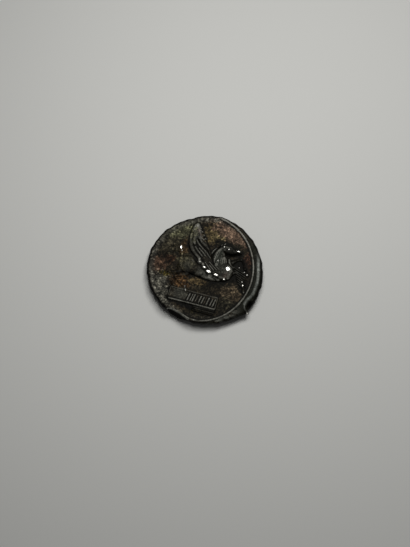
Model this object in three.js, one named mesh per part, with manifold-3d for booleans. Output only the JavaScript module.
// A struck silver denarius lying on its obverse: a thin, slightly ragged flan.
// The upper face carries a winged horse springing right over a framed tablet, inside a
// line border that runs off the flan on the left. The lower face carries a wreathed
// head inside a beaded border. Millimetres, +Z up, +X to the right of the upper design.
import * as THREE from "three";
import { mergeVertices } from "three/addons/utils/BufferGeometryUtils.js";
import Module from "manifold-3d";

const wasm = await Module();
wasm.setup();

// ---- Driving dimensions ----

// Levels: the worn high points of the lower face lie in the plane z = 0.
const OBVERSE_DEPTH = 0.55; // the lower field stands this far above that plane
const FLAN_THICKNESS = 1.3; // from field to field
const REVERSE_LEVEL = OBVERSE_DEPTH + FLAN_THICKNESS;
const ROOT = 0.1; // how far each raised shape is rooted below its field

// Outline of the flan: its radius every 30 degrees, counter-clockwise from +X.
const FLAN_RADII = [9.3, 9.13, 9.17, 9.28, 8.95, 9.18, 9.3, 9.14, 8.88, 8.74, 8.9, 9.38];
const OUTLINE_STEPS = 120;
const SPUR = { angle: 329, length: 0.62, before: 9, after: 3 }; // a torn point, degrees each way
const TEAR = { angle: 335.5, at: 9.25, width: 0.36, lean: 12 }; // the tear beside the spur
const CHIP = { angle: 254, at: 8.12, lean: 38 }; // a flake gone from the upper edge: where it starts

// Edge profile: [inset from the outline, share of the thickness], lower field to upper.
const EDGE_PROFILE = [
  [0.9, 0],
  [0.2, 0.13],
  [0, 0.5],
  [0.18, 0.85],
  [0.85, 1],
];

// Line border of the upper face, given from where it enters the flan to where it leaves.
const LINE_BORDER = { centre: [-1.44, 0.07], radius: 9.04, from: 80, to: -112, width: 0.42, rise: 0.2 };

// Beaded border of the lower face.
const BEAD_BORDER = { centre: [0.4, -0.1], radius: 8.05, beads: 56, size: 0.62, rise: 0.24, margin: 0.75 };

// Tablet under the horse, and the row of strokes on it.
const TABLET = { centre: [-0.55, -5.08], size: [7.8, 2.1], rise: 0.1, frame: 0.32, frameRise: 0.27 };
const GROUND_LINE = { below: 0.38, width: 0.22, rise: 0.14 };
const MARKS = { from: -1.2, to: 2.8, count: 10, length: 1.4, width: 0.34, rise: 0.34 };

// Wreath of the head on the lower face.
const WREATH = { stem: [[2.9, 4.35], [0.1, 3.75], [-4.1, 0.9]], pairs: 5, leaf: 0.9, rise: 0.66 };

const UPWARD = new THREE.Vector3(0, 0, 1);
const degrees = THREE.MathUtils.degToRad;
const mix = THREE.MathUtils.lerp;
const between = ([ax, ay], [bx, by], t) => [mix(ax, bx, t), mix(ay, by, t)];
const spread = (count, make) => Array.from({ length: count }, (_, i) => make(i / (count - 1), i));

// ---- Solids ----

// A closed three.js geometry as a solid.
function solidOf(geometry) {
  const bare = geometry.clone();
  bare.deleteAttribute("normal");
  bare.deleteAttribute("uv");
  const merged = mergeVertices(bare, 1e-4);
  const vertProperties = new Float32Array(merged.attributes.position.array);
  const triVerts = new Uint32Array(merged.index.array);
  return new wasm.Manifold(new wasm.Mesh({ numProp: 3, vertProperties, triVerts }));
}

function geometryOf(solid) {
  const mesh = solid.getMesh();
  const position = new Float32Array(mesh.numVert * 3);
  for (let i = 0; i < mesh.numVert; i++) {
    position.set(mesh.vertProperties.subarray(i * mesh.numProp, i * mesh.numProp + 3), i * 3);
  }
  const indexed = new THREE.BufferGeometry();
  indexed.setAttribute("position", new THREE.BufferAttribute(position, 3));
  indexed.setIndex(new THREE.BufferAttribute(mesh.triVerts, 1));
  const faceted = indexed.toNonIndexed();
  faceted.computeVertexNormals();
  return faceted;
}

const union = (solids) => solids.reduce((sum, solid) => sum.add(solid));

// Rings of points with equal counts, joined ring to ring and closed at both ends: by fans,
// by flat plan shapes, or, where a ring runs out over the top and back underneath, by
// strips between the two. Rings given the other way round are turned, so that the faces
// always point out.
function loft(rings, caps = "fan") {
  const count = rings[0].length;
  const points = rings.flat();
  const faces = [];
  const last = (rings.length - 1) * count;
  for (let a = 0; a < last; a++) {
    const b = a % count === count - 1 ? a - count + 1 : a + 1;
    faces.push([a, b, b + count], [a, b + count, a + count]);
  }
  if (caps === "strip") {
    for (let i = 0; i + 1 < count / 2; i++) {
      const [a, b, c, d] = [i, i + 1, count - 2 - i, count - 1 - i];
      faces.push([a, c, b], [a, d, c]);
      faces.push([last + a, last + b, last + c], [last + a, last + c, last + d]);
    }
  } else if (caps === "plan") {
    const plan = (ring) => THREE.ShapeUtils.triangulateShape(ring, []);
    plan(rings[0]).forEach(([a, b, c]) => faces.push([c, b, a]));
    plan(rings.at(-1)).forEach(([a, b, c]) => faces.push([last + a, last + b, last + c]));
  } else {
    const middle = (ring) =>
      ring.reduce((sum, p) => sum.add(p), new THREE.Vector3()).divideScalar(count);
    const start = points.push(middle(rings[0])) - 1;
    const end = points.push(middle(rings.at(-1))) - 1;
    for (let i = 0; i < count; i++) {
      const next = (i + 1) % count;
      faces.push([start, next, i], [end, last + i, last + next]);
    }
  }
  const geometry = new THREE.BufferGeometry().setFromPoints(points);
  geometry.setIndex(faces.flat());
  const solid = solidOf(geometry);
  return solid.volume() > 0 ? solid : loft([...rings].reverse(), caps);
}

// The value at share t of a list of evenly spaced values.
function along(values, t) {
  const list = [values].flat();
  const at = t * (list.length - 1);
  const low = Math.min(Math.floor(at), list.length - 2);
  return list.length === 1 ? list[0] : THREE.MathUtils.lerp(list[low], list[low + 1], at - low);
}

// A smooth line through points in the plane.
function lineThrough(points, closed = false) {
  const list = points.map(([x, y]) => new THREE.Vector3(x, y, 0));
  return new THREE.CatmullRomCurve3(list, closed, "centripetal");
}

// How far a ridge of this half width has rounded up at a distance from its end.
const roundEnd = (distance, half) =>
  Math.max(0.2, Math.sqrt(1 - Math.max(0, 1 - distance / half) ** 2));

// A raised ridge with an arched section of a few flats and blunt round ends, laid along a
// smooth line. Width and rise are single values or lists spread along the line.
function ridge(points, width, rise, { steps = 5, sides = 2 } = {}) {
  const line = lineThrough(points);
  const length = line.getLength();
  const cap = Math.min((0.45 * along(width, 0.5)) / length, 0.8 / steps);
  const stations = Array.from({ length: steps - 1 }, (_, i) => mix(cap, 1 - cap, i / (steps - 2)));
  const rings = [];
  for (const t of [0, ...stations, 1]) {
    const half = along(width, t) / 2;
    const round = roundEnd(Math.min(t, 1 - t) * length, half);
    const centre = line.getPointAt(t);
    const tangent = line.getTangentAt(t);
    const top = along(rise, t) * round;
    const place = (across, height) =>
      new THREE.Vector3(centre.x + tangent.y * across, centre.y - tangent.x * across, height);
    const turn = Math.PI / sides;
    const flare = (ROOT * (1 - Math.cos(turn))) / (top * Math.sin(turn));
    const outer = half * round * (1 + (sides === 2 ? ROOT / top : flare));
    const arch = Array.from({ length: sides - 1 }, (_, j) =>
      place(half * round * Math.cos(turn * (j + 1)), top * Math.sin(turn * (j + 1))),
    );
    rings.push([place(outer, -ROOT), ...arch, place(-outer, -ROOT)]);
  }
  return loft(rings);
}

// A low oval dome with a flattened top, turned by an angle in degrees.
function dome([x, y], [length, width], rise, { turn = 0, segments = 8, steps = 2 } = {}) {
  const rings = Array.from({ length: steps + 1 }, (_, k) => {
    const swing = (Math.PI / 2) * (k / (steps + 0.25));
    return [k ? rise * Math.sin(swing) : -ROOT, k ? Math.cos(swing) : 1.1];
  }).map(([level, size]) =>
    Array.from({ length: segments }, (_, i) => {
      const angle = (2 * Math.PI * i) / segments;
      const across = (Math.cos(angle) * length * size) / 2;
      const up = (Math.sin(angle) * width * size) / 2;
      const point = new THREE.Vector3(across, up, level);
      return point.applyAxisAngle(UPWARD, degrees(turn)).add(new THREE.Vector3(x, y, 0));
    }),
  );
  return loft(rings);
}

// Feathers or locks lying side by side as one ribbed sheet: each has its own smooth line
// with a crest, and the grooves between them stop short, so that the tips stand free.
function ribbed(lines, rise, groove, { steps = 6, margin = 0.2, setback = 0.07 } = {}) {
  const curves = lines.map((line) => lineThrough(line));
  const rings = [];
  for (let i = 0; i <= steps; i++) {
    const t = i / steps;
    const fade = i === 0 || i === steps ? 0.25 : 1;
    const crests = curves.map((curve) => curve.getPointAt(t));
    const grooves = curves.map((curve) => curve.getPointAt(t * (1 - setback)));
    const outward = (a, b) => a.clone().sub(b).setLength(margin).add(a);
    const ring = [outward(crests[0], crests[1]).setZ(-ROOT / 2)];
    crests.forEach((crest, k) => {
      ring.push(crest.setZ(along(rise, t) * fade));
      if (k + 1 < crests.length) {
        const dip = grooves[k].clone().lerp(grooves[k + 1], 0.5);
        ring.push(dip.setZ(along(groove, t) * fade));
      }
    });
    ring.push(outward(crests.at(-1), crests.at(-2)).setZ(-ROOT / 2));
    const underneath = ring.map((point) => point.clone().setZ(-ROOT)).reverse();
    rings.push([...ring, ...underneath]);
  }
  return loft(rings, "strip");
}

// A rounded mass inside a closed outline, rising towards a backbone line.
function mass(outline, backbone, rise, { count = 44, levels = 3 } = {}) {
  const edge = lineThrough(outline, true);
  const [foot, head] = backbone.map(([x, y]) => new THREE.Vector3(x, y, 0));
  const bone = new THREE.Line3(foot, head);
  const rings = [];
  for (let k = -1; k < levels; k++) {
    const inward = Math.max(0, k) / levels;
    const height = k < 0 ? -ROOT : Math.max(0.05, rise * Math.sqrt(1 - (1 - inward) ** 2.4));
    const ring = Array.from({ length: count }, (_, i) => {
      const point = edge.getPointAt(i / count);
      const target = bone.closestPointToPoint(point, true, new THREE.Vector3());
      return point.lerp(target, inward * 0.96).setZ(height);
    });
    rings.push(ring);
  }
  return loft(rings, "plan");
}

// ---- Flan ----

// A smooth bump that is 1 at its middle angle and 0 beyond its reach on each side.
function bump(angle, { angle: middle, before, after }) {
  const off = THREE.MathUtils.euclideanModulo(angle - middle + 180, 360) - 180;
  const reach = off < 0 ? before : after;
  return Math.max(0, 1 - Math.abs(off) / reach) ** 2;
}

const flanCurve = new THREE.CatmullRomCurve3(
  FLAN_RADII.map((radius) => new THREE.Vector3(radius, 0, 0)),
  true,
  "catmullrom",
);

function flanRadius(angle) {
  const turn = THREE.MathUtils.euclideanModulo(angle, 360) / 360;
  return flanCurve.getPoint(turn).x + SPUR.length * bump(angle, SPUR);
}

// The outline drawn in by an inset, at one height.
function outlineRing(inset, height) {
  return Array.from({ length: OUTLINE_STEPS }, (_, i) => {
    const angle = (360 * i) / OUTLINE_STEPS;
    const radius = flanRadius(angle) - inset;
    return new THREE.Vector3(radius, 0, height).applyAxisAngle(UPWARD, degrees(angle));
  });
}

const flan = () =>
  loft(EDGE_PROFILE.map(([inset, share]) => outlineRing(inset, OBVERSE_DEPTH + share * FLAN_THICKNESS)));

// What the striking left on the flan: the relief that falls inside its rounded edge.
const struckArea = () => loft([outlineRing(0.4, -5), outlineRing(0.4, 5)]);

// The flake and the tear, as the shapes they took away.
function losses() {
  const flake = new THREE.BoxGeometry(3, 14, 6).translate(1.5, 0, 0);
  flake.rotateY(-degrees(CHIP.lean)).translate(CHIP.at, 0, REVERSE_LEVEL).rotateZ(degrees(CHIP.angle));
  const tear = new THREE.CylinderGeometry(TEAR.width, TEAR.width, 6, 5).rotateX(Math.PI / 2);
  tear.rotateY(degrees(TEAR.lean)).translate(TEAR.at, 0, REVERSE_LEVEL).rotateZ(degrees(TEAR.angle));
  return solidOf(flake).add(solidOf(tear));
}

// ---- Upper face: winged horse, tablet and line border, on the plane z = 0 ----

function lineBorder() {
  const { centre, radius, from, to, width, rise } = LINE_BORDER;
  const points = spread(19, (t) => {
    const angle = degrees(mix(from, to, t));
    return [centre[0] + radius * Math.cos(angle), centre[1] + radius * Math.sin(angle)];
  });
  return ridge(points, width, rise, { steps: 38, sides: 3 });
}

function horseBody() {
  const barrel = [[-3.6, 0.1], [-1.2, -0.3], [1.4, -0.5], [3.4, 0.0]];
  const neck = [[3.1, -0.1], [2.3, 1.4], [1.8, 2.6], [1.95, 3.9]];
  return [
    ridge(barrel, [2.3, 2.2, 2.1, 2.2], [0.38, 0.42, 0.42], { steps: 6, sides: 5 }),
    dome([-3.1, 0.1], [2.5, 2.9], 0.5, { turn: 20, segments: 10, steps: 3 }),
    dome([3.3, 0.4], [2.4, 2.9], 0.62, { turn: 15, segments: 10, steps: 3 }),
    ridge(neck, [3.0, 2.5, 1.9, 1.2], [0.54, 0.5, 0.44, 0.42], { steps: 6, sides: 5 }),
  ];
}

// Skull and muzzle, cheek, eye and ear, with tufts of mane down the back of the neck.
function horseHead() {
  const skull = [[1.9, 3.95], [2.8, 3.98], [3.8, 3.88], [4.9, 3.95]];
  const tufts = spread(5, (t) => {
    const [x, y] = between([1.9, 4.1], [1.4, 1.9], t);
    const tuft = [[x + 0.35, y], [x - 0.15, y + 0.1], [x - 0.5, y - 0.15]];
    return ridge(tuft, [0.4, 0.4, 0.2], [0.46, 0.4, 0.16], { steps: 3 });
  });
  return [
    ridge(skull, [1.1, 1.2, 0.85, 0.6], [0.4, 0.46, 0.4, 0.36], { steps: 7, sides: 4 }),
    dome([2.75, 3.75], [1.0, 0.9], 0.54, { turn: -20 }),
    dome([3.0, 4.15], [0.4, 0.26], 0.56, { segments: 6 }),
    ridge([[2.1, 4.2], [2.0, 4.55], [2.15, 4.95]], [0.34, 0.3, 0.12], [0.46, 0.34], { steps: 3 }),
    ...tufts,
  ];
}

// Legs from the body to the hoof: the widths swell at the joints and at the hoof.
function horseLegs() {
  const fore = [1.3, 0.85, 0.5, 0.66, 0.42, 0.36, 0.5, 0.36, 0.66];
  const hind = [1.9, 1.3, 0.8, 0.72, 0.46, 0.4, 0.5, 0.38, 0.66];
  const slender = (widths) => widths.map((value) => value * 0.85);
  const nearFore = [[3.6, -0.3], [5.2, 0.5], [6.2, -0.6], [6.8, -2.0]];
  const farFore = [[3.6, 1.8], [5.2, 2.9], [6.15, 1.6], [6.7, 0.75]];
  const nearHind = [[-3.0, -0.3], [-2.6, -1.4], [-4.2, -2.3], [-3.0, -3.2], [-2.3, -3.75]];
  const farHind = [[-3.7, -0.5], [-3.8, -1.3], [-5.4, -2.0], [-4.7, -3.15], [-4.1, -3.75]];
  const detail = { steps: 9, sides: 3 };
  return [
    ridge(nearFore, fore, [0.44, 0.36, 0.3], detail),
    ridge(farFore, slender(fore), [0.36, 0.3, 0.25], detail),
    ridge(nearHind, hind, [0.44, 0.34, 0.28], detail),
    ridge(farHind, slender(hind), [0.34, 0.28, 0.24], detail),
  ];
}

// Three strands rising from the rump and curling over.
function horseTail() {
  const strands = spread(3, (t) => [
    [-3.9, 0.9 - 0.4 * t],
    [-4.5 - 0.1 * t, 2.5 - 0.6 * t],
    [-6.0 + 0.4 * t, 2.5 - 0.8 * t],
    [-6.7 + 0.8 * t, 0.4],
  ]);
  const detail = { steps: 8, margin: 0.18, setback: 0.12 };
  return ribbed(strands, [0.36, 0.34, 0.3, 0.2], [0.22, 0.16, 0.1, 0.05], detail);
}

// The raised wing: an arm with knuckles along its leading edge, long feathers swept
// beside it to the tip, and short feathers over the shoulder.
function horseWing() {
  const arm = [
    [3.4, -0.8], [1.9, -0.5], [0.6, -0.2], [-0.6, 0.65], [-1.75, 1.85],
    [-2.8, 3.3], [-3.35, 4.9], [-3.35, 6.2], [-3.0, 7.15],
  ];
  const first = [[0.6, 0.2], [-1.6, 2.1], [-2.8, 4.3], [-2.9, 7.1]];
  const last = [[2.2, 0.9], [0.75, 1.9], [-0.4, 3.9], [-2.2, 6.2]];
  const feathers = spread(8, (t) => first.map((point, k) => between(point, last[k], t)));
  const coverts = spread(6, (t) => [
    between([1.3, -0.3], [2.8, 0.5], t),
    between([-0.6, 1.1], [1.2, 1.7], t),
  ]);
  const knuckles = [[1.95, -0.6], [0.7, -0.35], [-0.15, 0.15], [-1.05, 0.85], [-1.8, 1.65]];
  return [
    ridge(arm, [0.8, 0.8, 0.62, 0.36], [0.56, 0.5, 0.4, 0.26], { steps: 12, sides: 3 }),
    ribbed(feathers, [0.5, 0.42, 0.36, 0.22], [0.34, 0.24, 0.18, 0.08], { steps: 7 }),
    ribbed(coverts, [0.56, 0.54, 0.48], [0.44, 0.42, 0.38], { steps: 2 }),
    ...knuckles.map((place) => dome(place, [0.9, 0.6], 0.62, { turn: -35, segments: 6 })),
    dome([3.35, -1.0], [0.5, 0.4], 0.5, { segments: 6 }),
  ];
}

function tablet() {
  const { centre, size, rise, frame, frameRise } = TABLET;
  const [x, y] = centre;
  const [w, h] = size.map((length) => length / 2);
  const corners = [[x - w, y - h], [x + w, y - h], [x + w, y + h], [x - w, y + h]];
  const shape = new THREE.Shape(corners.map((corner) => new THREE.Vector2(...corner)));
  const plate = new THREE.ExtrudeGeometry(shape, { depth: rise + ROOT, bevelEnabled: false });
  const sides = corners.map((corner, i) =>
    ridge([corner, corners[(i + 1) % 4]], frame, frameRise, { steps: 3, sides: 3 }),
  );
  const level = y - h - GROUND_LINE.below;
  const line = [[x - w * 0.2, level], [x + w + 0.3, level]];
  const ground = ridge(line, GROUND_LINE.width, GROUND_LINE.rise, { steps: 3 });
  return [solidOf(plate.translate(0, 0, -ROOT)), ...sides, ground];
}

// A row of plain strokes, all leaning one way and of three lengths, where an inscription
// would be.
function tabletMarks() {
  const { from, to, count, length, width, rise } = MARKS;
  const sizes = [1, 0.5, 0.72];
  const lifts = [0, 0.3, -0.18];
  return spread(count, (t, i) => {
    const x = mix(from, to, t);
    const y = TABLET.centre[1] + lifts[i % 3];
    const half = (length / 2) * sizes[i % 3];
    const stroke = [[x - 0.12 * half, y - half], [x + 0.12 * half, y + half]];
    return ridge(stroke, width, rise, { steps: 3 });
  });
}

function reverse() {
  return union([
    lineBorder(),
    ...horseBody(),
    ...horseHead(),
    ...horseLegs(),
    horseTail(),
    ...horseWing(),
    ...tablet(),
    ...tabletMarks(),
  ]);
}

// ---- Lower face: wreathed head and beaded border, as seen from below, on z = 0 ----

// Temple, jaw, chin, lips, nose, brow and forehead.
const FACE = [
  [0.4, 3.2], [-1.2, 1.6], [-1.0, -0.4], [0.2, -1.9], [1.6, -2.65], [2.9, -2.55],
  [3.4, -2.0], [3.3, -1.45], [3.65, -1.05], [3.4, -0.72], [3.75, -0.4], [3.55, 0.1],
  [4.15, 0.3], [4.3, 0.65], [3.75, 1.6], [3.3, 2.6], [3.15, 3.3], [2.7, 4.1],
];
// Behind the ear, nape, the cut of the neck, and throat.
const NECK = [
  [-0.6, 0.8], [-2.4, 0.8], [-3.5, -0.6], [-3.2, -2.4], [-3.1, -4.4], [-3.4, -6.2],
  [-0.4, -6.8], [1.7, -6.1], [0.95, -4.6], [0.9, -3.3], [1.4, -1.6],
];

function face() {
  const brow = [[1.3, 2.75], [2.4, 3.05], [3.25, 2.65]];
  const nose = [[3.3, 2.6], [3.65, 1.5], [4.0, 0.62]];
  const upperLip = [[2.4, -0.72], [3.1, -0.45], [3.6, -0.42]];
  const lowerLip = [[2.4, -0.8], [3.0, -1.08], [3.5, -1.02]];
  const ear = [[-0.9, -0.1], [-0.5, 1.0], [-1.1, 1.7], [-1.75, 1.1], [-1.3, 0.4]];
  return [
    mass(NECK, [[-1.0, -4.8], [-1.1, -0.9]], 0.38, { count: 28 }),
    mass(FACE, [[1.5, -0.9], [1.2, 2.0]], 0.43),
    ridge(brow, [0.5, 0.7, 0.6], [0.5, 0.54, 0.4], { steps: 4 }),
    dome([2.5, 2.0], [1.4, 0.76], 0.54, { turn: 4 }),
    ridge(nose, [0.5, 0.6, 0.8], [0.36, 0.4, 0.46], { steps: 4, sides: 3 }),
    ridge(upperLip, [0.3, 0.5, 0.36], [0.46, 0.46, 0.38], { steps: 3 }),
    ridge(lowerLip, [0.3, 0.5, 0.36], [0.46, 0.45, 0.36], { steps: 3 }),
    dome([2.8, -1.95], [1.3, 1.1], 0.48),
    dome([1.3, 0.2], [3.3, 3.6], 0.58, { turn: -10, segments: 12 }),
    ridge(ear, 0.5, 0.64, { steps: 7 }),
  ];
}

// Locks combed from the wreath over the skull, a roll of hair under the wreath, and
// tresses falling on the neck.
function hair() {
  const [brow, , nape] = WREATH.stem;
  const locks = spread(14, (t) => {
    const angle = degrees(mix(14, 205, t));
    const start = between(brow, nape, t);
    const end = [-0.9 + 3.45 * Math.cos(angle), 3.7 + 2.55 * Math.sin(angle)];
    const [x, y] = between(start, end, 0.5);
    return [start, [x - 0.3, y + 0.15], end];
  });
  const roll = spread(12, (t) => {
    const [x, y] = between(brow, nape, t);
    const drop = mix(0.9, 1.9, t);
    return [[x, y], [x - 0.1, y - drop * 0.5], [x - 0.45, y - drop]];
  });
  const tresses = spread(4, (t) => [
    [-3.1 + 1.6 * t, -0.1 - 0.7 * t],
    [-3.2 + 1.7 * t, -2.2],
    [-2.5 + 1.4 * t, -3.7],
    [-2.9 + 1.6 * t, -5.3],
  ]);
  return [
    ribbed(locks, [0.46, 0.52, 0.34], [0.34, 0.36, 0.16], { steps: 4, setback: 0 }),
    ribbed(roll, [0.46, 0.54, 0.5], [0.34, 0.4, 0.36], { steps: 3, setback: 0 }),
    ribbed(tresses, [0.58, 0.58, 0.48, 0.3], [0.38, 0.36, 0.3, 0.16], { steps: 5 }),
  ];
}

// Pairs of pointed leaves along a stem from the brow to the nape, with berries in front.
function wreath() {
  const { stem, pairs, leaf, rise } = WREATH;
  const band = lineThrough(stem);
  const leaves = Array.from({ length: pairs * 2 }, (_, i) => {
    const t = (Math.floor(i / 2) + 0.7) / (pairs + 0.3);
    const at = band.getPointAt(t);
    const on = band.getTangentAt(t);
    const side = i % 2 ? leaf : -leaf;
    const point = (forward, out) => [
      at.x + on.x * forward - on.y * out,
      at.y + on.y * forward + on.x * out,
    ];
    const line = [point(0.45, 0), point(-0.15, 0.6 * side), point(-0.85, 0.85 * side)];
    return ridge(line, [0.6, 0.95, 0.3], [rise, rise, rise - 0.14], { steps: 4, sides: 3 });
  });
  const berries = [[2.6, 4.85], [3.1, 4.25], [2.45, 4.2]].map((place) =>
    dome(place, [0.7, 0.7], 0.6, { segments: 6 }),
  );
  return [ridge(stem, 0.4, rise - 0.08, { steps: 6 }), ...leaves, ...berries];
}

function beadBorder() {
  const { centre, radius, beads, size, rise, margin } = BEAD_BORDER;
  return Array.from({ length: beads }, (_, i) => {
    const angle = (2 * Math.PI * i) / beads;
    return [centre[0] + radius * Math.cos(angle), centre[1] + radius * Math.sin(angle)];
  })
    .filter(([x, y]) => {
      const above = THREE.MathUtils.radToDeg(Math.atan2(y, -x)); // turned over to the flan's own side
      return Math.hypot(x, y) < flanRadius(above) - margin;
    })
    .map((place) => dome(place, [size, size], rise, { segments: 5 }));
}

const obverse = () => union([...face(), ...hair(), ...wreath(), ...beadBorder()]);

// ---- The coin ----

function coin() {
  const upper = reverse().translate(0, 0, REVERSE_LEVEL);
  const lower = obverse().rotate(0, 180, 0).translate(0, 0, OBVERSE_DEPTH);
  const relief = upper.add(lower).intersect(struckArea());
  const aboveTable = solidOf(new THREE.BoxGeometry(30, 30, 10).translate(0, 0, 5));
  const worn = flan().add(relief).subtract(losses()).intersect(aboveTable);
  const geometry = geometryOf(worn);
  geometry.computeBoundingBox();
  const middle = geometry.boundingBox.getCenter(new THREE.Vector3());
  return geometry.translate(-middle.x, -middle.y, 0);
}

const tonedSilver = new THREE.MeshStandardMaterial({ color: "#3b3731", metalness: 0.85, roughness: 0.45 });
const struckCoin = new THREE.Mesh(coin(), tonedSilver);
struckCoin.name = "coin";

const denarius = new THREE.Group();
denarius.add(struckCoin);

export default denarius;
